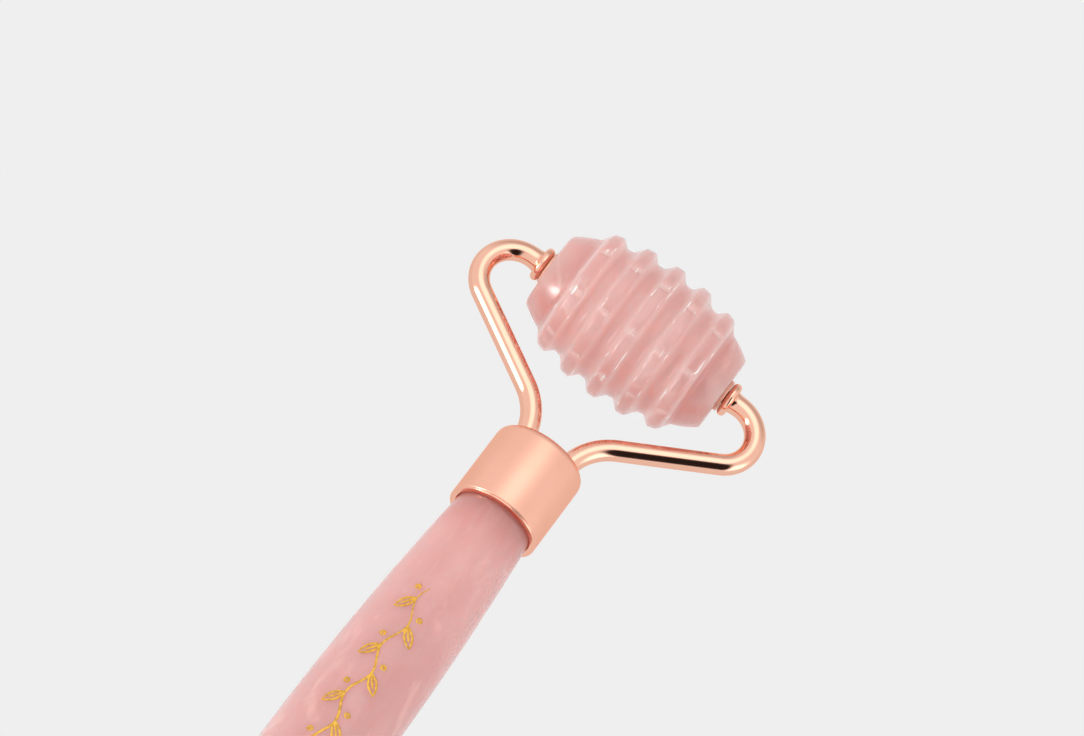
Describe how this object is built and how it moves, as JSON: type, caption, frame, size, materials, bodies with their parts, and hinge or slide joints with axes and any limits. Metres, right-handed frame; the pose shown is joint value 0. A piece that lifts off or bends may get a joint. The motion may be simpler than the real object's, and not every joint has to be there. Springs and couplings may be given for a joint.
{
  "type": "facial massage roller",
  "caption": "Double-ended facial massage roller: a spindle-shaped stone handle with a bent-wire yoke at each end, one holding a toothed stone barrel and the other a smaller smooth one.",
  "frame": {"origin": "the middle of the whole tool, on the long axis of its handle", "axes": "+X along both roller axles, +Y along the handle towards the large roller, +Z at right angles to the plane of the two yokes"},
  "size_m": [0.057, 0.196, 0.0256],
  "materials": {
    "handle_quartz": "polished, cloudy pink",
    "roller_quartz": "polished, cloudy pink",
    "satin_rose_gold": "satin, rose gold plated",
    "polished_rose_gold": "mirror polished, rose gold plated",
    "inner_steel": "plain",
    "bush_nylon": "pinkish nylon"
  },
  "bodies": {
    "frame": {"handle_stone": "handle_quartz", "large_ferrule": "satin_rose_gold", "large_yoke_plug": "inner_steel", "large_stud": "inner_steel", "large_arm_left": "polished_rose_gold", "large_arm_right": "polished_rose_gold", "large_axle_left": "polished_rose_gold", "large_axle_right": "polished_rose_gold", "small_ferrule": "satin_rose_gold", "small_yoke_plug": "inner_steel", "small_stud": "inner_steel", "small_arm_left": "polished_rose_gold", "small_arm_right": "polished_rose_gold", "small_axle_left": "polished_rose_gold", "small_axle_right": "polished_rose_gold"},
    "large_roller": {"large_roller_stone": "roller_quartz", "large_bush_left": "bush_nylon", "large_bush_right": "bush_nylon"},
    "small_roller": {"small_roller_stone": "roller_quartz", "small_bush_left": "bush_nylon", "small_bush_right": "bush_nylon"}
  },
  "joints": [
    {"name": "large_roller_spin", "type": "hinge", "parent": "frame", "child": "large_roller", "pos_m": [0, 0.08522, 0], "axis": [1, 0, 0], "continuous": true},
    {"name": "small_roller_spin", "type": "hinge", "parent": "frame", "child": "small_roller", "pos_m": [0, -0.08943, 0], "axis": [1, 0, 0], "continuous": true}
  ]
}
